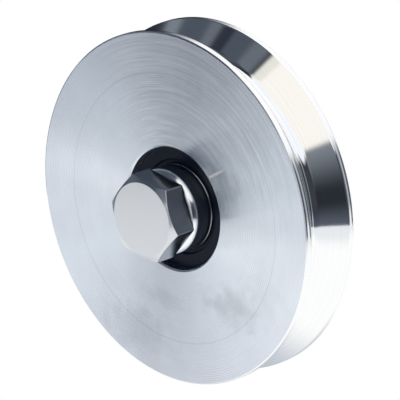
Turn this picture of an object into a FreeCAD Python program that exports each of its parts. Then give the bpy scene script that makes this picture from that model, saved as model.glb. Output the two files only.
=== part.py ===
import FreeCAD, Part
import math
import os

# V groove wheel of a sliding gate, in millimetres.
# The origin is the wheel's centre: on the axle line, half way through the wheel's width.
# +Y runs along the axle from the bolt's head to its nut, and +Z is up.

# Wheel: one turned steel disc
wheel_diameter = 100.0
wheel_width = 19.0
land_width = 2.0            # from a side face to the groove, sharp edges
groove_angle = 90.0         # between the two flanks
groove_root_round = 3.0
land_edge_round = 0.6
face_chamfer_reach = 0.4    # off the radius
face_chamfer_depth = 0.2    # off the width
front_wall = 2.5            # wall that the bearing is pushed against
front_hole_diameter = 35.0
front_hole_chamfer = 0.45
seat_chamfer = 0.7

# Sealed ball bearing 17 x 40 x 12
bearing_bore = 17.0
bearing_diameter = 40.0
bearing_width = 12.0
ring_corner_round = 0.5
ball_count = 8
ball_diameter = 6.747
pitch_circle_offset = 0.1   # balls' centres outside the middle of the section
raceway_play = 0.01         # between a ball and the bottom of each raceway
raceway_conformity = 0.52   # raceway groove radius over ball diameter
inner_raceway_depth = 1.28  # below the inner ring's lands, 24.5 mm in diameter
outer_raceway_depth = 1.23  # below the outer ring's lands, 33 mm in diameter

# Seals, snapped into the outer ring
seal_seat_step = 1.0        # from the outer ring's land to the seal's rim, 35 mm in diameter
seal_bead_height = 0.35     # how far the seal's bead reaches into the outer ring
seal_lip_depth = 0.5        # ring lip outside the bead
seal_depth = 1.5            # inner face below the ring's side face
seal_recess = 0.15          # outer face below the ring's side face
seal_step_reach = 1.35      # from the inner ring's land to the step in the outer face
seal_step_depth = 0.75      # outer face inside the step, below the ring's side face
seal_lip_clearance = 0.05

# Cage, two pressed ribbons
cage_sheet = 0.6
cage_band_width = 2.0
pocket_clearance = 0.1
rivet_diameter = 0.9
rivet_head_diameter = 1.6
rivet_head_height = 0.3

# Retaining ring for a 40 mm bore
clip_thickness = 1.75
clip_side_play = 0.1
clip_groove_depth = 1.25
clip_radial_play = 0.05
clip_width_far = 3.6        # opposite the gap
clip_width_near = 2.4       # beside the lugs
clip_gap_deg = 34.0
clip_gap_turn_deg = 270.0   # the gap's middle, from +X towards +Z
clip_lug_reach = 5.6        # from the seat inwards
clip_lug_width = 5.0
clip_hole_diameter = 2.5

# Axle bolt M14 x 60
bolt_diameter = 14.0
bolt_length = 60.0
bolt_tip_chamfer = 1.2
thread_depth = 1.08
thread_clearance = 0.02     # between the bolt's neck and the nut's bore
neck_reach = 0.5            # beyond the nut
head_across_flats = 22.0
head_height = 7.8
head_chamfer_diameter = 20.9
head_chamfer_deg = 30.0
head_turn_deg = 51.0        # one corner, from +X towards +Z
head_root_round = 0.6

# Flanged spacers
collar_diameter = 24.4
collar_reach = 4.6          # beyond each side face of the wheel
collar_edge_round = 2.0
collar_seat_chamfer = 0.25
spacer_bore_clearance = 0.1
spacer_bore_chamfer = 0.8
nose_clearance = 0.01
nose_gap = 0.3              # between the two noses
nose_chamfer = 0.4

# Washers and nut
washer_diameter = 28.0
washer_hole_clearance = 0.5
washer_thickness = 2.5
washer_edge_chamfer = 0.4
spring_washer_diameter = 24.1
spring_washer_bore_clearance = 0.1
spring_washer_thickness = 3.0
spring_washer_slot = 1.4
spring_washer_slot_deg = 25.0
spring_washer_edge_round = 0.4
nut_height = 11.0
nut_turn_deg = 15.0
nut_countersink_reach = 0.5 # beyond the thread's outside
nut_countersink_deg = 30.0

# Places along the axle
face_front = -wheel_width / 2
face_back = wheel_width / 2
bearing_front = face_front + front_wall
bearing_back = bearing_front + bearing_width
bearing_middle = (bearing_front + bearing_back) / 2
clip_front = bearing_back + clip_side_play / 2
head_seat = face_front - collar_reach
washer_seat = face_back + collar_reach
spring_washer_seat = washer_seat + washer_thickness
nut_seat = spring_washer_seat + spring_washer_thickness
nut_end = nut_seat + nut_height
bolt_tip = head_seat + bolt_length

# Radii that pieces share
seat_radius = bearing_diameter / 2
pitch_radius = (bearing_bore + bearing_diameter) / 4 + pitch_circle_offset
ball_radius = ball_diameter / 2
raceway_radius = raceway_conformity * ball_diameter
inner_raceway_bottom = pitch_radius - ball_radius - raceway_play
outer_raceway_bottom = pitch_radius + ball_radius + raceway_play
inner_land_radius = inner_raceway_bottom + inner_raceway_depth
outer_land_radius = outer_raceway_bottom - outer_raceway_depth
seal_radius = outer_land_radius + seal_seat_step
clip_groove_radius = seat_radius + clip_groove_depth
bolt_radius = bolt_diameter / 2
thread_root_radius = bolt_radius - thread_depth
spacer_bore_radius = bolt_radius + spacer_bore_clearance
nose_radius = bearing_bore / 2 - nose_clearance
collar_radius = collar_diameter / 2

ORIGIN = FreeCAD.Vector(0, 0, 0)
AXLE = FreeCAD.Vector(0, 1, 0)


def at(radius, angle_deg, y):
    """Point at a radius from the axle, the angle counted from +X towards +Z."""
    angle = math.radians(angle_deg)
    return FreeCAD.Vector(radius * math.cos(angle), y, radius * math.sin(angle))


def rounded_wire(corners):
    """Closed outline in the plane of the axle, from corners (radius, y) or (radius, y, round)."""
    points = [FreeCAD.Vector(corner[0], corner[1], 0) for corner in corners]
    rounds = [corner[2] if len(corner) > 2 else 0.0 for corner in corners]
    edges = []
    starts = []
    ends = []
    arcs = []
    for i, corner in enumerate(points):
        before = (points[i - 1] - corner).normalize()
        after = (points[(i + 1) % len(points)] - corner).normalize()
        if rounds[i] == 0.0:
            starts.append(corner)
            ends.append(corner)
            arcs.append(None)
            continue
        half = math.acos(max(-1.0, min(1.0, before.dot(after)))) / 2
        reach = rounds[i] / math.tan(half)
        middle_line = (before + after).normalize()
        centre = corner + middle_line * (rounds[i] / math.sin(half))
        starts.append(corner + before * reach)
        ends.append(corner + after * reach)
        arcs.append(centre - middle_line * rounds[i])
    for i in range(len(points)):
        if arcs[i] is not None:
            edges.append(Part.Arc(starts[i], arcs[i], ends[i]).toShape())
        following = starts[(i + 1) % len(points)]
        if (following - ends[i]).Length > 1e-6:
            edges.append(Part.LineSegment(ends[i], following).toShape())
    return Part.Wire(edges)


def turned(corners):
    """Solid turned about the axle from a half outline."""
    return Part.Face(rounded_wire(corners)).revolve(ORIGIN, AXLE, 360)


def tube(inner_radius, outer_radius, y_low, y_high):
    """Plain ring between two radii."""
    outer = Part.makeCylinder(outer_radius, y_high - y_low, FreeCAD.Vector(0, y_low, 0), AXLE)
    inner = Part.makeCylinder(inner_radius, y_high - y_low, FreeCAD.Vector(0, y_low, 0), AXLE)
    return outer.cut(inner)


def mirrored_about(shape, y):
    """Copy of a shape turned front to back about a plane across the axle."""
    return shape.mirror(FreeCAD.Vector(0, y, 0), AXLE)


def hexagon(across_flats, y_low, y_high, turn_deg):
    """Six-sided bar along the axle."""
    corner_radius = across_flats / math.sqrt(3)
    corners = [at(corner_radius, turn_deg + 60 * i, y_low) for i in range(7)]
    return Part.Face(Part.makePolygon(corners)).extrude(AXLE * (y_high - y_low))


def chamfer_drop(across_flats):
    """Length along the axle that the head's chamfer takes at a hexagon's corners."""
    beyond = across_flats / math.sqrt(3) - head_chamfer_diameter / 2
    return beyond * math.tan(math.radians(head_chamfer_deg))


def make_wheel():
    """Disc with a V groove, a hole through its front wall, and a seat and clip groove from the back."""
    rim = wheel_diameter / 2
    groove_half_width = wheel_width / 2 - land_width
    root = rim - groove_half_width / math.tan(math.radians(groove_angle / 2))
    hole = front_hole_diameter / 2
    clip_back = bearing_back + clip_thickness + clip_side_play
    return turned([
        (hole + front_hole_chamfer, face_front),
        (rim - face_chamfer_reach, face_front),
        (rim, face_front + face_chamfer_depth),
        (rim, -groove_half_width, land_edge_round),
        (root, 0, groove_root_round),
        (rim, groove_half_width, land_edge_round),
        (rim, face_back - face_chamfer_depth),
        (rim - face_chamfer_reach, face_back),
        (seat_radius + seat_chamfer, face_back),
        (seat_radius, face_back - seat_chamfer),
        (seat_radius, clip_back),
        (clip_groove_radius, clip_back),
        (clip_groove_radius, bearing_back),
        (seat_radius, bearing_back),
        (seat_radius, bearing_front),
        (hole, bearing_front),
        (hole, face_front + front_hole_chamfer),
    ])


def raceway(section_centre_radius):
    """Ring-shaped cutter of a raceway, its section's centre at this distance from the axle."""
    middle = FreeCAD.Vector(0, bearing_middle, 0)
    return Part.makeTorus(section_centre_radius, raceway_radius, middle, AXLE)


def make_outer_ring():
    """Outer ring with seal seats at both ends and a raceway ground into its bore."""
    mouth = seal_radius
    undercut = mouth + seal_bead_height
    ring = turned([
        (seat_radius, bearing_front, ring_corner_round),
        (seat_radius, bearing_back, ring_corner_round),
        (mouth, bearing_back),
        (mouth, bearing_back - seal_lip_depth),
        (undercut, bearing_back - seal_lip_depth),
        (undercut, bearing_back - seal_depth),
        (outer_land_radius, bearing_back - seal_depth),
        (outer_land_radius, bearing_front + seal_depth),
        (undercut, bearing_front + seal_depth),
        (undercut, bearing_front + seal_lip_depth),
        (mouth, bearing_front + seal_lip_depth),
        (mouth, bearing_front),
    ])
    return ring.cut(raceway(outer_raceway_bottom - raceway_radius))


def make_inner_ring():
    """Inner ring with a raceway ground into its outside."""
    ring = turned([
        (bearing_bore / 2, bearing_front, ring_corner_round),
        (inner_land_radius, bearing_front, ring_corner_round),
        (inner_land_radius, bearing_back, ring_corner_round),
        (bearing_bore / 2, bearing_back, ring_corner_round),
    ])
    return ring.cut(raceway(inner_raceway_bottom + raceway_radius))


def ball_angle(index):
    """Angle of a ball about the axle."""
    return 90 + 360 * index / ball_count


def make_ball(index):
    """One bearing ball."""
    return Part.makeSphere(ball_radius, at(pitch_radius, ball_angle(index), bearing_middle))


def rivet_angle(index):
    """Angle of a cage rivet, half way between two balls."""
    return ball_angle(index) + 180 / ball_count


def make_cage_rear():
    """Pressed ribbon: flat between the balls and domed over each, behind the middle plane."""
    inner = pitch_radius - cage_band_width / 2
    outer = pitch_radius + cage_band_width / 2
    pocket = ball_radius + pocket_clearance
    dome = pocket + cage_sheet
    half = tube(inner, outer, bearing_middle, bearing_middle + cage_sheet)
    band = tube(inner, outer, bearing_middle, bearing_middle + dome + cage_sheet)
    centres = [at(pitch_radius, ball_angle(i), bearing_middle) for i in range(ball_count)]
    domes = [Part.makeSphere(dome, centre, AXLE).common(band) for centre in centres]
    pockets = [Part.makeSphere(pocket, centre, AXLE) for centre in centres]
    holes = [rivet_shank(i) for i in range(ball_count)]
    return half.fuse(domes).cut(pockets + holes)


def rivet_shank(index):
    """Shank of one cage rivet, through both ribbons."""
    start = at(pitch_radius, rivet_angle(index), bearing_middle - cage_sheet)
    return Part.makeCylinder(rivet_diameter / 2, 2 * cage_sheet, start, AXLE)


def make_rivet(index):
    """Cage rivet with a flat head on each ribbon."""
    rivet = rivet_shank(index)
    head_radius = rivet_head_diameter / 2
    for foot in (bearing_middle - cage_sheet - rivet_head_height, bearing_middle + cage_sheet):
        start = at(pitch_radius, rivet_angle(index), foot)
        rivet = rivet.fuse(Part.makeCylinder(head_radius, rivet_head_height, start, AXLE))
    return rivet.removeSplitter()


def make_seal_front():
    """Rubber seal: a bead in the outer ring, a flat disc, and a thinner lip over the inner ring."""
    bead = seal_radius + seal_bead_height
    step = inner_land_radius + seal_step_reach
    lip = inner_land_radius + seal_lip_clearance
    slope = seal_step_depth - seal_recess
    return turned([
        (lip, bearing_front + seal_depth),
        (bead, bearing_front + seal_depth),
        (bead, bearing_front + seal_lip_depth),
        (seal_radius, bearing_front + seal_lip_depth),
        (seal_radius, bearing_front + seal_recess),
        (step, bearing_front + seal_recess),
        (step - slope / 2, bearing_front + seal_step_depth),
        (lip, bearing_front + seal_step_depth),
    ])


def make_retaining_ring():
    """Internal spring clip: wide opposite its gap, and two lugs with plier holes beside the gap."""
    outer = clip_groove_radius - clip_radial_play
    inner = outer - (clip_width_far + clip_width_near) / 2
    shift = (clip_width_far - clip_width_near) / 2
    thick = AXLE * clip_thickness
    start = FreeCAD.Vector(0, clip_front, 0)
    ring = Part.makeCylinder(outer, clip_thickness, start, AXLE)
    hollow = Part.makeCylinder(inner, clip_thickness, start + FreeCAD.Vector(0, 0, -shift), AXLE)
    half_gap = clip_gap_deg / 2
    wedge_radius = 2 * outer
    wedge = Part.Face(Part.makePolygon([
        start,
        at(wedge_radius, clip_gap_turn_deg - half_gap, clip_front),
        at(wedge_radius, clip_gap_turn_deg + half_gap, clip_front),
        start,
    ])).extrude(thick)
    clip = ring.cut([hollow, wedge])
    lug_centre_radius = seat_radius - clip_lug_reach + clip_lug_width / 2
    lug_half_deg = math.degrees(math.asin(clip_lug_width / 2 / lug_centre_radius))
    for side in (-1, 1):
        angle = clip_gap_turn_deg + side * (half_gap + lug_half_deg)
        eye = at(lug_centre_radius, angle, clip_front)
        foot = at(outer - clip_width_near / 2, angle, clip_front)
        along = (foot - eye).normalize()
        across = along.cross(AXLE) * (clip_lug_width / 2)
        neck = Part.Face(Part.makePolygon([
            eye - across,
            eye + across,
            foot + across,
            foot - across,
            eye - across,
        ])).extrude(thick)
        pad = Part.makeCylinder(clip_lug_width / 2, clip_thickness, eye, AXLE)
        hole = Part.makeCylinder(clip_hole_diameter / 2, clip_thickness, eye, AXLE)
        clip = clip.fuse([neck, pad]).cut(hole)
    return clip.removeSplitter()


def make_spacer(seat, end, side):
    """Flanged bush: a collar from the bearing to its outer end, and a nose inside the inner ring."""
    nose_end = bearing_middle + side * nose_gap / 2
    return turned([
        (spacer_bore_radius + spacer_bore_chamfer, end),
        (collar_radius, end, collar_edge_round),
        (collar_radius, seat + side * collar_seat_chamfer),
        (collar_radius - collar_seat_chamfer, seat),
        (nose_radius, seat),
        (nose_radius, nose_end + side * nose_chamfer),
        (nose_radius - nose_chamfer, nose_end),
        (spacer_bore_radius, nose_end),
        (spacer_bore_radius, end - side * spacer_bore_chamfer),
    ])


def make_axle_bolt():
    """Hexagon head chamfered at its face, a shank and a chamfered tip.

    Inside the nut, where the two threads interlock, the shank is necked to the thread's root and
    the nut's bore closes in to match.
    """
    head_face = head_seat - head_height
    face_radius = head_chamfer_diameter / 2
    corner_radius = head_across_flats / math.sqrt(3)
    drop = chamfer_drop(head_across_flats)
    envelope = turned([
        (0, head_face),
        (face_radius, head_face),
        (corner_radius, head_face + drop),
        (corner_radius, head_seat),
        (0, head_seat),
    ])
    head = hexagon(head_across_flats, head_face, head_seat, head_turn_deg).common(envelope)
    shank = turned([
        (0, head_seat - head_height / 2),
        (bolt_radius + head_root_round, head_seat - head_height / 2),
        (bolt_radius + head_root_round, head_seat),
        (bolt_radius, head_seat + head_root_round),
        (bolt_radius, nut_seat),
        (thread_root_radius, nut_seat),
        (thread_root_radius, nut_end + neck_reach),
        (bolt_radius, nut_end + neck_reach),
        (bolt_radius, bolt_tip - bolt_tip_chamfer),
        (bolt_radius - bolt_tip_chamfer, bolt_tip),
        (0, bolt_tip),
    ])
    return head.fuse(shank).removeSplitter()


def make_plain_washer():
    """Flat washer with its outer edge chamfered towards the nut."""
    back = washer_seat + washer_thickness
    hole = bolt_radius + washer_hole_clearance
    return turned([
        (hole, washer_seat),
        (washer_diameter / 2, washer_seat),
        (washer_diameter / 2, back - washer_edge_chamfer),
        (washer_diameter / 2 - washer_edge_chamfer, back),
        (hole, back),
    ])


def make_spring_washer():
    """Spring washer pressed flat, split by a slanted slot."""
    back = spring_washer_seat + spring_washer_thickness
    inner = bolt_radius + spring_washer_bore_clearance
    outer = spring_washer_diameter / 2
    ring = turned([
        (inner, spring_washer_seat),
        (outer, spring_washer_seat, spring_washer_edge_round),
        (outer, back, spring_washer_edge_round),
        (inner, back),
    ])
    middle = (spring_washer_seat + back) / 2
    slot_height = 3 * spring_washer_thickness
    corner = FreeCAD.Vector(0, middle - slot_height / 2, -spring_washer_slot / 2)
    slot = Part.makeBox(washer_diameter, slot_height, spring_washer_slot, corner)
    slot.rotate(FreeCAD.Vector(0, middle, 0), FreeCAD.Vector(1, 0, 0), spring_washer_slot_deg)
    return ring.cut(slot)


def make_hex_nut():
    """Hexagon nut chamfered and countersunk at both ends, its bore at the thread's root."""
    face_radius = head_chamfer_diameter / 2
    corner_radius = head_across_flats / math.sqrt(3)
    drop = chamfer_drop(head_across_flats)
    bore = thread_root_radius + thread_clearance
    sink = bolt_radius + nut_countersink_reach
    sink_depth = (sink - bore) * math.tan(math.radians(nut_countersink_deg))
    envelope = turned([
        (sink, nut_seat),
        (face_radius, nut_seat),
        (corner_radius, nut_seat + drop),
        (corner_radius, nut_end - drop),
        (face_radius, nut_end),
        (sink, nut_end),
        (bore, nut_end - sink_depth),
        (bore, nut_seat + sink_depth),
    ])
    return hexagon(head_across_flats, nut_seat, nut_end, nut_turn_deg).common(envelope)


def make_parts():
    """Every piece by its node's name."""
    seal_front = make_seal_front()
    cage_rear = make_cage_rear()
    parts = {
        "wheel": make_wheel(),
        "bearing_outer_ring": make_outer_ring(),
        "bearing_inner_ring": make_inner_ring(),
        "cage_front": mirrored_about(cage_rear, bearing_middle),
        "cage_rear": cage_rear,
        "cage_rivets": Part.makeCompound([make_rivet(i) for i in range(ball_count)]),
        "seal_front": seal_front,
        "seal_rear": mirrored_about(seal_front, bearing_middle),
        "retaining_ring": make_retaining_ring(),
        "spacer_front": make_spacer(bearing_front, head_seat, -1),
        "spacer_rear": make_spacer(bearing_back, washer_seat, 1),
        "axle_bolt": make_axle_bolt(),
        "plain_washer": make_plain_washer(),
        "spring_washer": make_spring_washer(),
        "hex_nut": make_hex_nut(),
    }
    for i in range(ball_count):
        parts["ball_%d" % (i + 1)] = make_ball(i)
    return parts


os.makedirs("parts", exist_ok=True)
for name, shape in make_parts().items():
    shape.exportStep("parts/%s.step" % name)
    print("%-20s solids %d  valid %s  volume %.2f" % (name, len(shape.Solids), shape.isValid(), shape.Volume))
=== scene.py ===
import math

import bpy
import numpy as np
from mathutils import Matrix, Vector


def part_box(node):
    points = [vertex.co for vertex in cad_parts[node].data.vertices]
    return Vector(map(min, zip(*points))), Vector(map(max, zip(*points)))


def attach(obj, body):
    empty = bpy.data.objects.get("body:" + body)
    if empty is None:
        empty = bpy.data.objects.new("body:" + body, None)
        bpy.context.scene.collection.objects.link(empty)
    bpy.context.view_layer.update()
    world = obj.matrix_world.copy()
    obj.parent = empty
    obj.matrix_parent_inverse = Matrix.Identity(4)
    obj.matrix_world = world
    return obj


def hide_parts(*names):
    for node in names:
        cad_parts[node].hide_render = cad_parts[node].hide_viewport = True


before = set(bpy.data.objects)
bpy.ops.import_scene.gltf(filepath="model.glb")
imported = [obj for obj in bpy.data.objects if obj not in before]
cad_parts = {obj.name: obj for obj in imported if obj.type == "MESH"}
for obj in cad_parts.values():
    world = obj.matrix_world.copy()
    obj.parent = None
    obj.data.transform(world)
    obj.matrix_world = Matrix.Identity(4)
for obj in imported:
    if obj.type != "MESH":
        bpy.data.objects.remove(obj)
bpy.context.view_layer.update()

# V groove wheel on its axle bolt. Metres, +Y along the axle from the bolt's head to its nut, +Z up.
# Profiles are written in millimetres as (radius from the axle, place along the axle).
MM = 0.001


def reach_mm(node):
    """Lowest y, highest y and largest radius of a CAD node, in millimetres."""
    low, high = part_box(node)
    return low.y / MM, high.y / MM, high.z / MM


# Sizes read from the CAD parts
WHEEL_FRONT, WHEEL_BACK, WHEEL_RADIUS = reach_mm("wheel")
BEARING_FRONT, BEARING_BACK, SEAT_RADIUS = reach_mm("bearing_outer_ring")
_, _, INNER_RING_RADIUS = reach_mm("bearing_inner_ring")
SPACER_FRONT_END, _, COLLAR_RADIUS = reach_mm("spacer_front")
_, SPACER_REAR_END, _ = reach_mm("spacer_rear")
BOLT_FACE, BOLT_TIP, _ = reach_mm("axle_bolt")
WASHER_FRONT, WASHER_BACK, WASHER_RADIUS = reach_mm("plain_washer")
NUT_FRONT, NUT_BACK, _ = reach_mm("hex_nut")

# Edges that look sharp, from the keenest to the most worn
KEEN_EDGE = 0.02
SHARP_EDGE = 0.05
FACE_EDGE = 0.06

# Wheel
LAND_WIDTH = 2.0
CHAMFER_REACH = 0.4
CHAMFER_DEPTH = 0.2
CHAMFER_ROUND = 0.2
LAND_EDGE_ROUND = 0.6
GROOVE_ROOT_ROUND = 3.0
HOLE_RADIUS = 17.5
HOLE_CHAMFER = 0.45
SEAT_CHAMFER = 0.7
CLIP_THICKNESS = 1.75
CLIP_PLAY = 0.1
CLIP_GROOVE_RADIUS = 21.25

# Seals. Depths are counted from the bearing ring's side face inwards.
SEAL_RADIUS = 17.5
SEAL_BEAD_REACH = 0.35
SEAL_LIP_CLEARANCE = 0.05
SEAL_LIP_WIDTH = 0.35
SEAL_LIP_SLOPE = 0.1
SEAL_STEP_RADIUS = 13.6
SEAL_STEP_SLOPE = 0.4
SEAL_RIM_WIDTH = 0.6
SEAL_RIM_SLOPE = 0.3
SEAL_LIP_DEPTH = 0.75
SEAL_INNER_DEPTH = 0.9
SEAL_OUTER_DEPTH = 0.2
SEAL_RIM_DEPTH = 0.35
SEAL_BEAD_DEPTH = 0.5
SEAL_BACK_DEPTH = 1.5

# Spacers
COLLAR_EDGE_ROUND = 2.0
COLLAR_FOOT_ROUND = 0.3
SPACER_BORE_RADIUS = 7.1
SPACER_BORE_CHAMFER = 0.8
NOSE_RADIUS = 8.49
NOSE_CHAMFER = 0.4
NOSE_GAP = 0.3

# Bolt and nut
HEXAGON_FLATS = 22.0
HEXAGON_CHAMFER_RADIUS = 10.45
HEXAGON_CHAMFER_DEG = 30.0
HEAD_TURN_DEG = 51.0
HEAD_CORNER_ROUND = 0.28
HEAD_FACE_ROUND = 0.10
HEAD_CHAMFER_ROUND = 0.22
HEAD_SEAT_ROUND = 0.12
HEAD_FOOT_REACH = 0.6
HEAD_FOOT_HEIGHT = 0.4
HEAD_FOOT_ROUND = 0.03
THREAD_RADIUS = 7.0
THREAD_PITCH = 2.0
THREAD_DEPTH = 1.15
THREAD_LENGTH = 34.0
THREAD_CREST = 0.12         # share of the wave's height that is cut flat at the crest
THREAD_FLANK = 0.78         # share that slopes, so that the rest is flat at the root
SHANK_START = 0.3           # behind the head's seat
TIP_CHAMFER = 1.2
AXLE_CAP_RADIUS = 0.02      # flat caps that close the bolt's two pieces on the axle
NUT_TURN_DEG = 15.0
NUT_CORNER_ROUND = 0.25
NUT_FACE_ROUND = 0.12
NUT_CHAMFER_ROUND = 0.14
NUT_COUNTERSINK = 0.5

# Plain washer
WASHER_HOLE_RADIUS = 7.5
WASHER_EDGE_ROUND = 0.15
WASHER_BACK_ROUND = 0.45


# Shapes

def square_to_axle(angles):
    """Unit vectors at these angles about the axle: the cosine along +X and the sine along +Z."""
    return np.stack([np.cos(angles), np.zeros(len(angles)), np.sin(angles)], axis=1)


def profile_grid(corners, angles, outline, steps):
    """Rounded profile repeated at every angle, as points (n, m, 3), normals and face finishes.

    Each corner is (radius, y, round, finish): radius may be an array over the angles, y too, and
    finish is the number of the material on the face that follows. Drawn with the radius to the
    right and y upwards, the corners run anticlockwise. Every corner becomes an arc of steps parts
    in the half plane of its angle: the sum of the two radii at its ends, each weighted by the sine
    of the angle left to the other end. Its normals turn evenly from one face to the next.
    """
    count = len(corners)
    around = len(angles)
    radial = square_to_axle(angles)
    radius = np.array([np.broadcast_to(c[0], around) for c in corners], float)
    along = np.array([np.broadcast_to(c[1], around) for c in corners], float)
    points = []
    normals = []
    finishes = []
    for i in range(count):
        here = np.stack([radius[i], along[i]], axis=1)
        before = np.stack([radius[i - 1], along[i - 1]], axis=1) - here
        after = np.stack([radius[(i + 1) % count], along[(i + 1) % count]], axis=1) - here
        before /= np.linalg.norm(before, axis=1, keepdims=True)
        after /= np.linalg.norm(after, axis=1, keepdims=True)
        normal_in = wall_normal(-before, radial, outline, flat=is_side(corners, i - 1))
        normal_out = wall_normal(after, radial, outline, flat=is_side(corners, i))
        cosine = np.clip((before * after).sum(1), -1, 1)
        half = np.arccos(cosine) / 2
        reach = (corners[i][2] / np.tan(half))[:, None]
        start = here + before * reach
        end = here + after * reach
        middle = (before + after) / np.linalg.norm(before + after, axis=1, keepdims=True)
        centre = here + middle * (corners[i][2] / np.sin(half))[:, None]
        sweep = math.pi - 2 * half
        first = start - centre
        second = end - centre
        for k in range(steps + 1):
            t = k / steps
            near = np.sin((1 - t) * sweep)[:, None]
            far = np.sin(t * sweep)[:, None]
            flat_point = centre + (first * near + second * far) / np.sin(sweep)[:, None]
            points.append(radial * flat_point[:, :1] + [0, 1, 0] * flat_point[:, 1:])
            normal = normal_in * (1 - t) + normal_out * t
            normals.append(normal / np.linalg.norm(normal, axis=1, keepdims=True))
            finishes.append(corners[i][3] if k == steps else corners[i - 1][3])
    return np.array(points) * MM, np.array(normals), finishes


def is_side(corners, i):
    """True if the face after corner i runs along a hexagon's flat."""
    following = corners[(i + 1) % len(corners)]
    return np.ndim(corners[i][0]) > 0 and np.ndim(following[0]) > 0


def wall_normal(direction, radial, outline, flat):
    """Outward normal of a wall: its direction, as (radius, y), turned a quarter turn clockwise."""
    out = outline if flat else radial
    return out * direction[:, 1:] - [0, 1, 0] * direction[:, :1]


def surface(name, points, normals, finishes, materials, close_profile=True):
    """Mesh of a grid of points that closes round the axle, with its exact normals.

    Row i of the grid is one point of the profile at every angle, and the faces are the quads
    between neighbouring rows and angles. A profile that isn't closed starts and ends beside the
    axle, where a small flat cap closes it.
    """
    rows, around = points.shape[:2]
    bands = rows if close_profile else rows - 1
    i, j = np.meshgrid(np.arange(bands), np.arange(around), indexing="ij")
    next_angle = (j + 1) % around
    next_row = (i + 1) % rows
    faces = np.stack([i * around + j, next_row * around + j,
                      next_row * around + next_angle, i * around + next_angle], axis=-1)
    faces = faces.reshape(-1, 4).tolist()
    numbers = np.repeat(finishes[:bands], around).tolist()
    if not close_profile:
        first_row = range(around)
        last_row = range((rows - 1) * around, rows * around)
        faces += [list(first_row), list(reversed(last_row))]
        numbers += [finishes[0], finishes[bands - 1]]
    mesh = bpy.data.meshes.new(name)
    mesh.from_pydata(points.reshape(-1, 3), [], faces)
    mesh.polygons.foreach_set("use_smooth", np.ones(len(faces), bool))
    mesh.polygons.foreach_set("material_index", numbers)
    for material in materials:
        mesh.materials.append(material)
    mesh.normals_split_custom_set_from_vertices(normals.reshape(-1, 3))
    mesh.update()
    piece = bpy.data.objects.new(name, mesh)
    bpy.context.scene.collection.objects.link(piece)
    return piece


def turned(name, corners, materials, around, steps=4):
    """Ring turned about the axle: its closed profile carried round the circle of angles."""
    angles = np.linspace(0, 2 * math.pi, around, endpoint=False)
    points, normals, finishes = profile_grid(corners, angles, square_to_axle(angles), steps)
    return surface(name, points, normals, finishes, materials)


def hexagon_outline(turn_deg, corner_round, per_flat=20, per_corner=6):
    """Angles, radii and outward normals round a hexagon whose six corners are small arcs.

    Each side is the line at half the width across the flats from the axle, and each corner is a
    circle's sixth about a point set in from both its sides by the round.
    """
    apothem = HEXAGON_FLATS / 2
    flat_angle = math.radians(60)
    straight = (apothem - corner_round) * math.tan(flat_angle / 2)
    places = []
    facings = []
    for side in range(6):
        facing = math.radians(turn_deg + 30) + side * flat_angle
        out = np.array([math.cos(facing), math.sin(facing)])
        across = np.array([-math.sin(facing), math.cos(facing)])
        for t in np.linspace(-1, 1, per_flat):
            places.append(out * apothem + across * straight * t)
            facings.append(facing)
        centre = out * (apothem - corner_round) + across * straight
        for t in np.linspace(0, 1, per_corner + 2)[1:-1]:
            turn = facing + flat_angle * t
            places.append(centre + corner_round * np.array([math.cos(turn), math.sin(turn)]))
            facings.append(turn)
    places = np.array(places)
    facings = np.array(facings)
    angles = np.unwrap(np.arctan2(places[:, 1], places[:, 0]))
    return angles, np.hypot(places[:, 0], places[:, 1]), square_to_axle(facings)


def chamfer_drop(radius):
    """Length that a hexagon's chamfer takes along the axle at this radius: a cone's slope."""
    return (radius - HEXAGON_CHAMFER_RADIUS) * math.tan(math.radians(HEXAGON_CHAMFER_DEG))


# Shader nodes

def new_group(name, vectors_in, numbers_in, numbers_out):
    """Empty shader node group with these sockets, and its input and output nodes."""
    group = bpy.data.node_groups.new(name, "ShaderNodeTree")
    for label in vectors_in:
        group.interface.new_socket(name=label, in_out="INPUT", socket_type="NodeSocketVector")
    for label in numbers_in:
        group.interface.new_socket(name=label, in_out="INPUT", socket_type="NodeSocketFloat")
    for label in numbers_out:
        group.interface.new_socket(name=label, in_out="OUTPUT", socket_type="NodeSocketFloat")
    return group, group.nodes.new("NodeGroupInput"), group.nodes.new("NodeGroupOutput")


def place_group(tree, group, values):
    """Node group in a material's or the world's tree, its named inputs set to plain values."""
    node = tree.nodes.new("ShaderNodeGroup")
    node.node_tree = group
    for key, value in values.items():
        node.inputs[key].default_value = value
    return node


def math_node(tree, operation, first, second=None):
    """Math node whose inputs are sockets or numbers."""
    node = tree.nodes.new("ShaderNodeMath")
    node.operation = operation
    for i, value in enumerate((first, second)):
        if isinstance(value, bpy.types.NodeSocket):
            tree.links.new(value, node.inputs[i])
        elif value is not None:
            node.inputs[i].default_value = value
    return node.outputs[0]


def vector_node(tree, operation, first, second=None):
    """Vector math node whose inputs are sockets or vectors; gives its vector or its value."""
    node = tree.nodes.new("ShaderNodeVectorMath")
    node.operation = operation
    for i, value in enumerate((first, second)):
        if isinstance(value, bpy.types.NodeSocket):
            tree.links.new(value, node.inputs[i])
        elif value is not None:
            node.inputs[i].default_value = value
    return node.outputs["Value" if operation in ("DOT_PRODUCT", "LENGTH") else "Vector"]


def scaled_color(tree, color, factor):
    """Colour, a socket or three numbers, times a value."""
    node = tree.nodes.new("ShaderNodeVectorMath")
    node.operation = "SCALE"
    if isinstance(color, bpy.types.NodeSocket):
        tree.links.new(color, node.inputs[0])
    else:
        node.inputs[0].default_value = color
    tree.links.new(factor, node.inputs["Scale"])
    return node.outputs[0]


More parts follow.
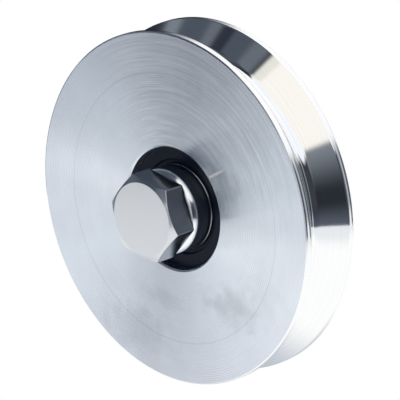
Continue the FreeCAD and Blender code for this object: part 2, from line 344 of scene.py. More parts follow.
def mix_color(tree, factor, first, second):
    """Mix node for colours, each a socket or three numbers."""
    node = tree.nodes.new("ShaderNodeMix")
    node.data_type = "RGBA"
    tree.links.new(factor, node.inputs["Factor"])
    for key, value in (("A", first), ("B", second)):
        socket = next(s for s in node.inputs if s.name == key and s.type == "RGBA")
        if isinstance(value, bpy.types.NodeSocket):
            tree.links.new(value, socket)
        else:
            socket.default_value = (*value, 1)
    return next(s for s in node.outputs if s.type == "RGBA")


def ramp(tree, value, low, high, out_low, out_high, smooth=True):
    """Map Range node from one interval to another, clamped: a smooth step or a straight line."""
    node = tree.nodes.new("ShaderNodeMapRange")
    node.interpolation_type = "SMOOTHSTEP" if smooth else "LINEAR"
    for key, number in (("From Min", low), ("From Max", high),
                        ("To Min", out_low), ("To Max", out_high)):
        if isinstance(number, bpy.types.NodeSocket):
            tree.links.new(number, node.inputs[key])
        else:
            node.inputs[key].default_value = number
    tree.links.new(value, node.inputs["Value"])
    return node.outputs["Result"]


def noise(tree, place, scale, detail, roughness=0.5, dimensions="3D"):
    """Noise texture's value: scale is in cycles for each unit of the place, detail in octaves."""
    node = tree.nodes.new("ShaderNodeTexNoise")
    node.noise_dimensions = dimensions
    node.inputs["Roughness"].default_value = roughness
    for key, value in (("W" if dimensions == "1D" else "Vector", place), ("Scale", scale),
                       ("Detail", detail)):
        if isinstance(value, bpy.types.NodeSocket):
            tree.links.new(value, node.inputs[key])
        else:
            node.inputs[key].default_value = value
    return node.outputs["Fac"]


def bump(tree, height, depth_mm):
    """Bump node's normal, for a height between 0 and 1 over this depth."""
    node = tree.nodes.new("ShaderNodeBump")
    node.inputs["Strength"].default_value = 1.0
    node.inputs["Distance"].default_value = depth_mm * MM
    tree.links.new(height, node.inputs["Height"])
    return node.outputs[0]


# Marks that more than one material has

# Interval that holds nearly all the values of a noise
NOISE_LOW = 0.3
NOISE_HIGH = 0.7
LATHE_LINES_PER_MM = 3.0
LATHE_ARCS_PER_MM = 5.0
LATHE_ARC_TURNS = 2.5       # cycles of an arc's noise for each radian about the axle
LATHE_SLANT = 0.37          # share of the place along the axle in the ring coordinate
LATHE_GLOSS = 0.03
GRAIN_GLOSS = 0.15


def make_lathe_group():
    """Marks that a lathe tool leaves: fine rings about the axle, and coarser ones broken into arcs.

    The ring coordinate is the radius plus a share of the place along the axle, so that faces,
    flanks and cylinders all show rings. The rings are a noise of that coordinate alone. The arcs
    are a noise of it and of the direction from the axle. Tone and Gloss are factors close to 1.
    """
    group, entry, leave = new_group("lathe_marks", ["Position"], ["Line tone", "Arc tone"],
                                    ["Tone", "Gloss"])
    position = entry.outputs["Position"]
    flat = vector_node(group, "MULTIPLY", position, (1, 0, 1))
    radius = math_node(group, "MULTIPLY", vector_node(group, "LENGTH", flat), 1 / MM)
    along = vector_node(group, "DOT_PRODUCT", position, (0, LATHE_SLANT / MM, 0))
    ring = math_node(group, "ADD", radius, along)
    lines = noise(group, math_node(group, "MULTIPLY", ring, LATHE_LINES_PER_MM), 1.0, 3.0,
                  roughness=0.65, dimensions="1D")
    arcs = noise(group, ring_place(group, flat, ring, LATHE_ARC_TURNS, LATHE_ARCS_PER_MM), 1.0, 2.0)
    line_tone = entry.outputs["Line tone"]
    arc_tone = entry.outputs["Arc tone"]
    tone = math_node(group, "ADD",
                     ramp(group, lines, NOISE_LOW, NOISE_HIGH,
                          math_node(group, "SUBTRACT", 1, line_tone),
                          math_node(group, "ADD", 1, line_tone)),
                     ramp(group, arcs, NOISE_LOW, NOISE_HIGH,
                          math_node(group, "MULTIPLY", arc_tone, -1), arc_tone))
    group.links.new(tone, leave.inputs["Tone"])
    group.links.new(ramp(group, arcs, NOISE_LOW, NOISE_HIGH, 1 - LATHE_GLOSS, 1 + LATHE_GLOSS),
                    leave.inputs["Gloss"])
    return group


def ring_place(tree, flat, ring, turns, rings_per_mm):
    """Place in a noise whose patches are long arcs: direction from the axle and ring, both scaled."""
    around = vector_node(tree, "NORMALIZE", flat)
    place = tree.nodes.new("ShaderNodeCombineXYZ")
    tree.links.new(math_node(tree, "MULTIPLY", ring, rings_per_mm), place.inputs["Y"])
    return vector_node(tree, "ADD", vector_node(tree, "MULTIPLY", around, (turns, 0, turns)),
                       place.outputs[0])


def make_grain_group():
    """Fine even grain, a noise of the position: factors for tone and gloss, and the height itself."""
    group, entry, leave = new_group("fine_grain", ["Position"], ["Grain mm", "Detail", "Tone"],
                                    ["Tone", "Gloss", "Height"])
    scale = math_node(group, "DIVIDE", 1 / MM, entry.outputs["Grain mm"])
    grain = noise(group, entry.outputs["Position"], scale, entry.outputs["Detail"])
    tone = entry.outputs["Tone"]
    group.links.new(ramp(group, grain, NOISE_LOW, NOISE_HIGH, math_node(group, "SUBTRACT", 1, tone),
                         math_node(group, "ADD", 1, tone)), leave.inputs["Tone"])
    group.links.new(ramp(group, grain, NOISE_LOW, NOISE_HIGH, 1 - GRAIN_GLOSS, 1 + GRAIN_GLOSS),
                    leave.inputs["Gloss"])
    group.links.new(grain, leave.inputs["Height"])
    return group


LATHE_MARKS = make_lathe_group()
FINE_GRAIN = make_grain_group()


# Finishes

def shader(name, metallic, roughness, color):
    """Material with a Principled shader whose plain values sit on its own sockets."""
    material = bpy.data.materials.new(name)
    material.use_nodes = True
    tree = material.node_tree
    principled = tree.nodes["Principled BSDF"]
    principled.inputs["Metallic"].default_value = metallic
    principled.inputs["Roughness"].default_value = roughness
    principled.inputs["Base Color"].default_value = (*color, 1)
    position = tree.nodes.new("ShaderNodeTexCoord").outputs["Object"]
    return material, tree, principled, position


def turned_steel(name, color, roughness, spread, line_tone, arc_tone):
    """Turned steel: rings in its tone and gloss, and a reflection spread across the rings."""
    material, tree, principled, position = shader(name, 1.0, roughness, color)
    principled.inputs["Anisotropic"].default_value = spread
    principled.inputs["Anisotropic Rotation"].default_value = 0.25
    round_axle = vector_node(tree, "CROSS_PRODUCT", position, (0, 1, 0))
    to_world = tree.nodes.new("ShaderNodeVectorTransform")
    to_world.vector_type = "VECTOR"
    to_world.convert_from = "OBJECT"
    to_world.convert_to = "WORLD"
    tree.links.new(round_axle, to_world.inputs[0])
    tree.links.new(to_world.outputs[0], principled.inputs["Tangent"])
    marks = place_group(tree, LATHE_MARKS, {"Line tone": line_tone, "Arc tone": arc_tone})
    tree.links.new(position, marks.inputs["Position"])
    tree.links.new(scaled_color(tree, color, marks.outputs["Tone"]), principled.inputs["Base Color"])
    tree.links.new(math_node(tree, "MULTIPLY", marks.outputs["Gloss"], roughness),
                   principled.inputs["Roughness"])
    return material


def add_grain(tree, principled, position, marks, roughness, depth_mm):
    """Feeds the grain's gloss into the roughness and its height into the normal."""
    tree.links.new(position, marks.inputs["Position"])
    tree.links.new(math_node(tree, "MULTIPLY", marks.outputs["Gloss"], roughness),
                   principled.inputs["Roughness"])
    tree.links.new(bump(tree, marks.outputs["Height"], depth_mm), principled.inputs["Normal"])


def plain_steel(name, color, roughness, grain_mm, tone, depth_mm):
    """Steel with a fine even grain in tone, roughness and normal, as plating leaves it."""
    material, tree, principled, position = shader(name, 1.0, roughness, color)
    marks = place_group(tree, FINE_GRAIN, {"Grain mm": grain_mm, "Detail": 3.0, "Tone": tone})
    add_grain(tree, principled, position, marks, roughness, depth_mm)
    tree.links.new(scaled_color(tree, color, marks.outputs["Tone"]), principled.inputs["Base Color"])
    return material


def moulded_rubber(name, color, roughness, grain_mm, depth_mm):
    """Black rubber with a faint moulded grain in roughness and normal, and a weak shine."""
    material, tree, principled, position = shader(name, 0.0, roughness, color)
    marks = place_group(tree, FINE_GRAIN, {"Grain mm": grain_mm, "Detail": 2.0, "Tone": 0.0})
    add_grain(tree, principled, position, marks, roughness, depth_mm)
    principled.inputs["Specular IOR Level"].default_value = 0.15
    return material


# Marks, painted shade and a painted highlight on the wheel's faces, all in millimetres but the tones,
# which are shares of the colour

RING_PITCH = 0.63
RING_TONE = 0.05
RING_TONE_FAINT = 0.004     # between the patches where the rings show
PATCHES_PER_MM = 0.06
PATCH_EDGE = 0.42           # values of the patches' noise where a patch ends and where it is full
PATCH_CORE = 0.60
CLOUDS_PER_MM = 0.09
CLOUD_TONE = 0.04
CLOUD_LOW = 0.25            # values of the clouds' noise where they are darkest and lightest
CLOUD_HIGH = 0.75
DARK_RING_RADIUS = 38.4
DARK_RING_HALF_WIDTH = 0.45
DARK_RING_TONE = 0.07
STREAKS_PER_MM = 1.8
STREAK_TURNS = 2.5          # cycles of a streak's noise for each radian about the axle
STREAK_TONE = 0.095
STREAK_TONE_FAINT = 0.01
STREAK_SECTOR_DEG = 70.0    # middle of the sector where they are strong, from +X towards +Z
STREAK_SECTOR_EDGE = 0.35   # cosines of the angle off that middle where they are faint and strong
STREAK_SECTOR_CORE = 0.9
# Dark patches: place x and z, half widths, depth of tone
DARK_PATCHES = [
    (22.0, -23.0, 12.0, 6.5, 0.20),
    (-14.0, -38.0, 17.0, 8.0, 0.13),
    (-4.0, -26.5, 9.0, 4.0, 0.09),
    (35.0, -17.0, 8.0, 12.0, 0.07),
    # painted shade of the bolt head, beside the collar
    (19.0, 10.5, 7.5, 7.0, 0.20),
    (27.0, 31.0, 28.0, 22.0, 0.08),
]
DARK_PATCH_CORE = 0.1           # reach where it is darkest and where it ends, in half widths
DARK_PATCH_EDGE = 1.15
DARK_PATCH_RAGGED = 1.5         # change of the reach that makes its outline ragged
RAGS_PER_MM = 0.22
# Painted highlight on the front face, a thin bright line: its two ends as (x, z), its half width where
# it is bright and where it ends
HIGHLIGHT_LINE_START = np.array([13.9, 12.4])
HIGHLIGHT_LINE_END = np.array([19.9, 16.1])
HIGHLIGHT_LINE_CORE = 0.16
HIGHLIGHT_LINE_EDGE = 0.42
HIGHLIGHT_LINE_HEAD = 0.4          # lengths over which it starts and fades out
HIGHLIGHT_LINE_TAIL = 2.5
HIGHLIGHT_LINE_DULL = 0.45         # added to the roughness
LAND_WAVE_PITCH = 1.2
LAND_WAVE_HEIGHT = 0.02
LAND_WAVE_START = 8.8


def turned_streaks(tree, flat, radius):
    """Streaks along the turning, as a change of tone: strong in one sector, faint in the rest.

    They are a noise of the direction from the axle and of the radius, so each streak is a long arc.
    """
    place = ring_place(tree, flat, radius, STREAK_TURNS, STREAKS_PER_MM)
    streaks = ramp(tree, noise(tree, place, 1.0, 2.0), NOISE_LOW, NOISE_HIGH, -1.0, 1.0, smooth=False)
    turn = math.radians(STREAK_SECTOR_DEG)
    facing = vector_node(tree, "DOT_PRODUCT", vector_node(tree, "NORMALIZE", flat),
                         (math.cos(turn), 0, math.sin(turn)))
    return math_node(tree, "MULTIPLY", streaks,
                     ramp(tree, facing, STREAK_SECTOR_EDGE, STREAK_SECTOR_CORE,
                          STREAK_TONE_FAINT, STREAK_TONE))


def dark_patch_tone(tree, flat, ragged, x, z, half_x, half_z, depth):
    """Darkening of one dark patch: an ellipse's reach, made ragged by a noise, with a soft edge."""
    place = vector_node(tree, "MULTIPLY", vector_node(tree, "SUBTRACT", flat, (x, 0, z)),
                        (1 / half_x, 0, 1 / half_z))
    reach = math_node(tree, "ADD", vector_node(tree, "LENGTH", place), ragged)
    return ramp(tree, reach, DARK_PATCH_CORE, DARK_PATCH_EDGE, depth, 0.0)


def face_tone(tree, position):
    """Factor on the face's tone: fine rings in patches, clouds, one darker ring, streaks and dark
    patches.

    The rings are a sine of the radius. The patches, the clouds and the dark patches' ragged outlines
    come from noises that are a few millimetres to a few centimetres wide. The dark patch beside the
    collar is painted shade of the bolt head.
    """
    flat = vector_node(tree, "MULTIPLY", position, (1 / MM, 0, 1 / MM))
    radius = vector_node(tree, "LENGTH", flat)
    rings = math_node(tree, "SINE", math_node(tree, "MULTIPLY", radius, 2 * math.pi / RING_PITCH))
    patches = ramp(tree, noise(tree, flat, PATCHES_PER_MM, 1.0), PATCH_EDGE, PATCH_CORE,
                   RING_TONE_FAINT, RING_TONE)
    clouds = ramp(tree, noise(tree, flat, CLOUDS_PER_MM, 3.0), CLOUD_LOW, CLOUD_HIGH,
                  1 - CLOUD_TONE, 1 + CLOUD_TONE, smooth=False)
    tone = math_node(tree, "ADD", math_node(tree, "MULTIPLY", rings, patches), clouds)
    away = math_node(tree, "ABSOLUTE", math_node(tree, "SUBTRACT", radius, DARK_RING_RADIUS))
    dark_ring = ramp(tree, away, 0.0, DARK_RING_HALF_WIDTH, DARK_RING_TONE, 0.0)
    tone = math_node(tree, "SUBTRACT", tone, dark_ring)
    tone = math_node(tree, "ADD", tone, turned_streaks(tree, flat, radius))
    ragged = math_node(tree, "SUBTRACT", noise(tree, flat, RAGS_PER_MM, 4.0), 0.5)
    ragged = math_node(tree, "MULTIPLY", ragged, DARK_PATCH_RAGGED)
    # one of the dark patches is painted shade of the bolt head
    for dark_patch in DARK_PATCHES:
        tone = math_node(tree, "SUBTRACT", tone, dark_patch_tone(tree, flat, ragged, *dark_patch))
    return tone


def highlight_line_mask(tree, position):
    """1 on the painted highlight line of the front face and 0 off it, from the distances along and
    across its line.
    """
    length = float(np.linalg.norm(HIGHLIGHT_LINE_END - HIGHLIGHT_LINE_START))
    ahead_x, ahead_z = (HIGHLIGHT_LINE_END - HIGHLIGHT_LINE_START) / length
    start = (HIGHLIGHT_LINE_START[0], 0, HIGHLIGHT_LINE_START[1])
    flat = vector_node(tree, "MULTIPLY", position, (1 / MM, 0, 1 / MM))
    from_start = vector_node(tree, "SUBTRACT", flat, start)
    along = vector_node(tree, "DOT_PRODUCT", from_start, (ahead_x, 0, ahead_z))
    across = vector_node(tree, "DOT_PRODUCT", from_start, (-ahead_z, 0, ahead_x))
    across = math_node(tree, "ABSOLUTE", across)
    place = vector_node(tree, "DOT_PRODUCT", position, (0, 1 / MM, 0))
    mask = ramp(tree, across, HIGHLIGHT_LINE_CORE, HIGHLIGHT_LINE_EDGE, 1.0, 0.0)
    for part in (ramp(tree, along, -HIGHLIGHT_LINE_HEAD / 2, HIGHLIGHT_LINE_HEAD / 2, 0.0, 1.0),
                 ramp(tree, along, length - HIGHLIGHT_LINE_TAIL, length, 1.0, 0.0),
                 ramp(tree, place, -1.0, 1.0, 1.0, 0.0)):
        mask = math_node(tree, "MULTIPLY", mask, part)
    return mask


def add_face_wear_and_painted_light(material):
    """Puts the face's tone, with its painted shade, on top of its colour, and the painted highlight as
    a white, rougher line.
    """
    tree = material.node_tree
    principled = tree.nodes["Principled BSDF"]
    position = tree.nodes["Texture Coordinate"].outputs["Object"]
    color = principled.inputs["Base Color"].links[0].from_socket
    worn_and_shaded = scaled_color(tree, color, face_tone(tree, position))
    # painted highlight: a thin white line mixed into the face's colour, and made rougher
    highlight_line = highlight_line_mask(tree, position)
    tree.links.new(mix_color(tree, highlight_line, worn_and_shaded, (1, 1, 1)), principled.inputs["Base Color"])
    smooth = principled.inputs["Roughness"].links[0].from_socket
    dull = math_node(tree, "MULTIPLY", highlight_line, HIGHLIGHT_LINE_DULL)
    tree.links.new(math_node(tree, "ADD", smooth, dull), principled.inputs["Roughness"])


def add_land_wave(material):
    """Coarse turned wave along the land: a cosine of the place along the axle, as a height."""
    tree = material.node_tree
    position = tree.nodes["Texture Coordinate"].outputs["Object"]
    place = vector_node(tree, "DOT_PRODUCT", position, (0, 1 / MM, 0))
    place = math_node(tree, "ADD", place, LAND_WAVE_START)
    turn = math_node(tree, "MULTIPLY", place, 2 * math.pi / LAND_WAVE_PITCH)
    tree.links.new(bump(tree, math_node(tree, "COSINE", turn), LAND_WAVE_HEIGHT),
                   tree.nodes["Principled BSDF"].inputs["Normal"])


# Turned steel: colour, roughness, spread of the reflection, tone of the lines and of the arcs
STEEL = (0.81, 0.86, 0.93)
FACE_STEEL = turned_steel("turned_face", STEEL, 0.26, 1.0, 0.008, 0.004)
add_face_wear_and_painted_light(FACE_STEEL)
LAND_STEEL = turned_steel("turned_land", (0.985, 0.99, 0.995), 0.14, 0.6, 0.01, 0.01)
add_land_wave(LAND_STEEL)
FLANK_STEEL = turned_steel("polished_flank", (0.98, 0.985, 0.99), 0.08, 0.6, 0.02, 0.02)
BORE_STEEL = turned_steel("bored_seat", STEEL, 0.22, 0.6, 0.03, 0.02)
COLLAR_STEEL = turned_steel("turned_collar", (0.95, 0.96, 0.98), 0.18, 0.5, 0.02, 0.01)
RING_STEEL = turned_steel("ground_ring", (0.80, 0.81, 0.83), 0.12, 0.5, 0.01, 0.01)
# The bearing's inner ring is coloured darker than its outer ring.
DARKER_INNER_STEEL = turned_steel("darker_inner_ring", (0.30, 0.31, 0.33), 0.22, 0.5, 0.01, 0.01)

# Plain steel: colour, roughness, size of the grain, its tone and its depth
BOLT_STEEL = plain_steel("plated_bolt", (0.72, 0.74, 0.77), 0.18, 0.35, 0.02, 0.0008)
# The hex flats are the bolt's plated steel in a darker colour: painted shade.
SHADED_FLAT_STEEL = plain_steel("plated_flat_shaded", (0.38, 0.40, 0.43), 0.16, 0.35, 0.02, 0.0008)
WASHER_STEEL = plain_steel("plated_washer", (0.64, 0.66, 0.68), 0.28, 0.5, 0.04, 0.002)
BALL_STEEL = plain_steel("polished_ball", (0.75, 0.76, 0.78), 0.05, 0.5, 0.01, 0.0002)
CAGE_STEEL = plain_steel("pressed_cage", (0.52, 0.52, 0.51), 0.35, 0.6, 0.05, 0.002)
CLIP_STEEL = plain_steel("blackened_clip", (0.10, 0.10, 0.11), 0.38, 0.4, 0.10, 0.002)

# Rubber: colour, roughness, size of the grain and its depth
# The seal's blue tint is painted reflection of the bluish studio light.
RUBBER = moulded_rubber("seal_rubber", (0.005, 0.011, 0.028), 0.34, 0.5, 0.004)


# Wheel

def make_wheel():
    """Disc with its V groove, front hole, bearing seat and clip groove."""
    groove_half = (WHEEL_BACK - WHEEL_FRONT) / 2 - LAND_WIDTH
    groove_bottom = WHEEL_RADIUS - groove_half
    clip_front = BEARING_BACK
    clip_back = BEARING_BACK + CLIP_THICKNESS + CLIP_PLAY
    face, land, flank, bore = range(4)
    corners = [
        (HOLE_RADIUS, BEARING_FRONT, SHARP_EDGE, bore),
        (HOLE_RADIUS, WHEEL_FRONT + HOLE_CHAMFER, FACE_EDGE, bore),
        (HOLE_RADIUS + HOLE_CHAMFER, WHEEL_FRONT, FACE_EDGE, face),
        (WHEEL_RADIUS - CHAMFER_REACH, WHEEL_FRONT, FACE_EDGE, land),
        (WHEEL_RADIUS, WHEEL_FRONT + CHAMFER_DEPTH, CHAMFER_ROUND, land),
        (WHEEL_RADIUS, -groove_half, LAND_EDGE_ROUND, flank),
        (groove_bottom, 0, GROOVE_ROOT_ROUND, flank),
        (WHEEL_RADIUS, groove_half, LAND_EDGE_ROUND, land),
        (WHEEL_RADIUS, WHEEL_BACK - CHAMFER_DEPTH, CHAMFER_ROUND, land),
        (WHEEL_RADIUS - CHAMFER_REACH, WHEEL_BACK, FACE_EDGE, face),
        (SEAT_RADIUS + SEAT_CHAMFER, WHEEL_BACK, FACE_EDGE, bore),
        (SEAT_RADIUS, WHEEL_BACK - SEAT_CHAMFER, FACE_EDGE, bore),
        (SEAT_RADIUS, clip_back, FACE_EDGE, bore),
        (CLIP_GROOVE_RADIUS, clip_back, SHARP_EDGE, bore),
        (CLIP_GROOVE_RADIUS, clip_front, SHARP_EDGE, bore),
        (SEAT_RADIUS, clip_front, KEEN_EDGE, bore),
        (SEAT_RADIUS, BEARING_FRONT, KEEN_EDGE, bore),
    ]
    wheel = turned("wheel_body", corners, [FACE_STEEL, LAND_STEEL, FLANK_STEEL, BORE_STEEL], around=512)
    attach(wheel, "wheel")
    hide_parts("wheel")


# Seals

def make_seal(name, node, ring_face, side):
    """Rubber seal seen from outside: a rim, a flat disc, a step and a thin lip with a raised edge.

    Side is 1 for the front seal and -1 for the rear one, which is the same profile turned over.
    """
    lip = INNER_RING_RADIUS + SEAL_LIP_CLEARANCE
    rim = SEAL_RADIUS - SEAL_RIM_WIDTH
    # Radius, depth and round of each corner
    profile = [
        (lip, SEAL_LIP_DEPTH, 0.08),
        (lip + SEAL_LIP_WIDTH, SEAL_LIP_DEPTH, 0.05),
        (lip + SEAL_LIP_WIDTH + SEAL_LIP_SLOPE, SEAL_INNER_DEPTH, 0.05),
        (SEAL_STEP_RADIUS - SEAL_STEP_SLOPE, SEAL_INNER_DEPTH, 0.08),
        (SEAL_STEP_RADIUS, SEAL_OUTER_DEPTH, 0.15),
        (rim - SEAL_RIM_SLOPE, SEAL_OUTER_DEPTH, 0.1),
        (rim, SEAL_RIM_DEPTH, 0.1),
        (SEAL_RADIUS, SEAL_RIM_DEPTH, 0.1),
        (SEAL_RADIUS, SEAL_BEAD_DEPTH, 0.03),
        (SEAL_RADIUS + SEAL_BEAD_REACH, SEAL_BEAD_DEPTH, 0.05),
        (SEAL_RADIUS + SEAL_BEAD_REACH, SEAL_BACK_DEPTH, 0.05),
        (lip, SEAL_BACK_DEPTH, 0.08),
    ]
    corners = [(radius, ring_face + side * depth, edge, 0) for radius, depth, edge in profile]
    if side < 0:
        corners = corners[::-1]
    seal = turned(name, corners, [RUBBER], around=256)
    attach(seal, "wheel")
    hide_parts(node)


# Spacers

def make_spacer(name, node, end, seat, side):
    """Flanged bush with a generously rounded outer edge.

    Side is -1 for the front spacer and 1 for the rear one, which is the same profile turned over.
    """
    middle = (BEARING_FRONT + BEARING_BACK) / 2
    nose_end = middle + side * NOSE_GAP / 2
    corners = [
        (SPACER_BORE_RADIUS + SPACER_BORE_CHAMFER, end, SHARP_EDGE, 0),
        (COLLAR_RADIUS, end, COLLAR_EDGE_ROUND, 0),
        (COLLAR_RADIUS, seat, COLLAR_FOOT_ROUND, 0),
        (NOSE_RADIUS, seat, SHARP_EDGE, 0),
        (NOSE_RADIUS, nose_end + side * NOSE_CHAMFER, SHARP_EDGE, 0),
        (NOSE_RADIUS - NOSE_CHAMFER, nose_end, SHARP_EDGE, 0),
        (SPACER_BORE_RADIUS, nose_end, SHARP_EDGE, 0),
        (SPACER_BORE_RADIUS, end - side * SPACER_BORE_CHAMFER, SHARP_EDGE, 0),
    ]
    if side > 0:
        corners = corners[::-1]
    spacer = turned(name, corners, [COLLAR_STEEL], around=256, steps=8)
    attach(spacer, "axle")
    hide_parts(node)


# Bolt

def make_bolt_head():
    """Hexagon head with its face's chamfer circle, rounded edges and the top of the shank.

    The profile's first two corners lie beside the axle. Their rows are left out but for the ends
    of the face and of the top of the shank, which the flat caps close.
    """
    seat = SPACER_FRONT_END
    # the flats take the darker copy of the head's steel, which is painted shade
    steel, flat = range(2)
    angles, radius, outline = hexagon_outline(HEAD_TURN_DEG, HEAD_CORNER_ROUND)
    corners = [
        (AXLE_CAP_RADIUS, seat + HEAD_FOOT_HEIGHT, AXLE_CAP_RADIUS / 4, steel),
        (AXLE_CAP_RADIUS, BOLT_FACE, AXLE_CAP_RADIUS / 4, steel),
        (HEXAGON_CHAMFER_RADIUS, BOLT_FACE, HEAD_FACE_ROUND, steel),
        (radius, BOLT_FACE + chamfer_drop(radius), HEAD_CHAMFER_ROUND, flat),
        (radius, np.full(len(radius), seat), HEAD_SEAT_ROUND, steel),
        (THREAD_RADIUS + HEAD_FOOT_REACH, seat, HEAD_FOOT_ROUND, steel),
        (THREAD_RADIUS, seat + HEAD_FOOT_HEIGHT, HEAD_FOOT_ROUND, steel),
    ]
    steps = 4
    points, normals, finishes = profile_grid(corners, angles, outline, steps)
    first = 2 * steps + 1
    points = np.concatenate([points[first:], points[:1]])
    normals = np.concatenate([normals[first:], normals[:1]])
    head = surface("bolt_head", points, normals, finishes[first:] + finishes[:1],
                   [BOLT_STEEL, SHADED_FLAT_STEEL], close_profile=False)
    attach(head, "axle")
    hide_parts("axle_bolt")


def make_bolt_shank():
    """Plain shank that runs into a rolled thread: the radius dips once a pitch along a helix.

    The dip is a cosine of the turns with a share of its height cut off at each end, so that the
    crest and the root are narrow flats. It fades in over one pitch where the thread starts, and a
    cone takes the chamfer off the tip. The normals are the cross product of the differences along
    the axle and round it.
    """
    start = SPACER_FRONT_END + SHANK_START
    thread_start = BOLT_TIP - THREAD_LENGTH
    around = 96
    plain_rows = 12
    rows_per_pitch = 14
    thread_rows = int(THREAD_LENGTH / THREAD_PITCH * rows_per_pitch)
    along = np.concatenate([np.linspace(start, thread_start, plain_rows)[:-1],
                            np.linspace(thread_start, BOLT_TIP, thread_rows)])
    angles = np.linspace(0, 2 * math.pi, around, endpoint=False)
    y, angle = np.meshgrid(along, angles, indexing="ij")
    turns = y / THREAD_PITCH - angle / (2 * math.pi)
    wave = 0.5 - 0.5 * np.cos(2 * math.pi * turns)
    groove = THREAD_DEPTH * np.clip((wave - THREAD_CREST) / THREAD_FLANK, 0, 1)
    fade = np.clip((y - thread_start) / THREAD_PITCH, 0, 1)
    radius = np.minimum(THREAD_RADIUS - groove * fade, THREAD_RADIUS + BOLT_TIP - TIP_CHAMFER - y)
    cap = np.full((1, around), AXLE_CAP_RADIUS)
    radius = np.concatenate([cap, radius, cap])[..., None]
    y = np.concatenate([y[:1], y, y[-1:]])[..., None]
    radial = square_to_axle(angles)
    points = radius * radial + y * [0, 1, 0]
    along_axle = np.gradient(points, axis=0)
    round_axle = np.roll(points, -1, axis=1) - np.roll(points, 1, axis=1)
    normals = np.cross(along_axle, round_axle)
    normals[0] = (0, -1, 0)
    normals[1] = radial
    normals[-1] = (0, 1, 0)
    normals /= np.linalg.norm(normals, axis=2, keepdims=True)
    shank = surface("bolt_shank", points * MM, normals, [0] * len(points), [BOLT_STEEL],
                    close_profile=False)
    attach(shank, "axle")
    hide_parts("axle_bolt")


# Washers and nut

def make_plain_washer():
    """Flat washer with slightly rounded stamped edges."""
    corners = [
        (WASHER_HOLE_RADIUS, WASHER_BACK, WASHER_EDGE_ROUND, 0),
        (WASHER_HOLE_RADIUS, WASHER_FRONT, WASHER_EDGE_ROUND, 0),
        (WASHER_RADIUS, WASHER_FRONT, WASHER_EDGE_ROUND, 0),
        (WASHER_RADIUS, WASHER_BACK, WASHER_BACK_ROUND, 0),
    ]
    washer = turned("plain_washer_plated", corners, [WASHER_STEEL], around=192)
    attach(washer, "axle")
    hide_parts("plain_washer")


def make_nut():
    """Hexagon nut chamfered at both ends and countersunk at its thread."""
    angles, radius, outline = hexagon_outline(NUT_TURN_DEG, NUT_CORNER_ROUND)
    drop = chamfer_drop(radius)
    mouth = THREAD_RADIUS + NUT_COUNTERSINK
    corners = [
        (THREAD_RADIUS, NUT_BACK - NUT_COUNTERSINK, SHARP_EDGE, 0),
        (THREAD_RADIUS, NUT_FRONT + NUT_COUNTERSINK, SHARP_EDGE, 0),
        (mouth, NUT_FRONT, SHARP_EDGE, 0),
        (HEXAGON_CHAMFER_RADIUS, NUT_FRONT, NUT_FACE_ROUND, 0),
        (radius, NUT_FRONT + drop, NUT_CHAMFER_ROUND, 0),
        (radius, NUT_BACK - drop, NUT_CHAMFER_ROUND, 0),
        (HEXAGON_CHAMFER_RADIUS, NUT_BACK, NUT_FACE_ROUND, 0),
        (mouth, NUT_BACK, SHARP_EDGE, 0),
    ]
    points, normals, finishes = profile_grid(corners, angles, outline, 4)
    nut = surface("hex_nut_plated", points, normals, finishes, [BOLT_STEEL])
    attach(nut, "axle")
    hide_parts("hex_nut")


# Finishes of the solids that stay

def finish_solids():
    """Gives each solid that stays its material."""
    finishes = {
        "bearing_outer_ring": RING_STEEL,
        "bearing_inner_ring": DARKER_INNER_STEEL,
        "cage_front": CAGE_STEEL,
        "cage_rear": CAGE_STEEL,
        "cage_rivets": CAGE_STEEL,
        "retaining_ring": CLIP_STEEL,
        "spring_washer": WASHER_STEEL,
    }
    for name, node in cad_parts.items():
        material = BALL_STEEL if name.startswith("ball_") else finishes.get(name)
        if material is not None:
            node.data.materials.clear()
            node.data.materials.append(material)


# Light, backdrop and camera

def make_softbox_group():
    """Mask of a window in the sky, 1 inside and 0 outside, given by its azimuths and elevations.

    All angles are in degrees. Front is the level direction of the window's middle, Right is level
    and square to it, and the borders say over how many degrees the window fades.
    """
    group, entry, leave = new_group(
        "softbox", ["Direction", "Front", "Right"],
        ["Half azimuth", "Low", "High", "Side border", "Low border", "High border"], ["Mask"])
    look = entry.outputs["Direction"]
    ahead = vector_node(group, "DOT_PRODUCT", look, entry.outputs["Front"])
    aside = vector_node(group, "DOT_PRODUCT", look, entry.outputs["Right"])
    upward = vector_node(group, "DOT_PRODUCT", look, (0, 0, 1))
    to_degrees = 180 / math.pi
    azimuth = math_node(group, "MULTIPLY", math_node(group, "ARCTAN2", aside, ahead), to_degrees)
    azimuth = math_node(group, "ABSOLUTE", azimuth)
    elevation = math_node(group, "MULTIPLY", math_node(group, "ARCSINE", upward), to_degrees)
    masks = []
    for value, limit, border, below, above in (
            (azimuth, "Half azimuth", "Side border", 1.0, 0.0),
            (elevation, "Low", "Low border", 0.0, 1.0),
            (elevation, "High", "High border", 1.0, 0.0)):
        half = math_node(group, "MULTIPLY", entry.outputs[border], 0.5)
        low = math_node(group, "SUBTRACT", entry.outputs[limit], half)
        high = math_node(group, "ADD", entry.outputs[limit], half)
        masks.append(ramp(group, value, low, high, below, above))
    both = math_node(group, "MULTIPLY", masks[0], masks[1])
    group.links.new(math_node(group, "MULTIPLY", both, masks[2]), leave.inputs["Mask"])
    return group


def direction(azimuth_deg, elevation_deg):
    """Unit vector: azimuth 0 is -Y, where the bolt's head points, and 90 is +X."""
    azimuth = math.radians(azimuth_deg)
    elevation = math.radians(elevation_deg)
    return Vector((math.sin(azimuth) * math.cos(elevation),
                   -math.cos(azimuth) * math.cos(elevation), math.sin(elevation)))


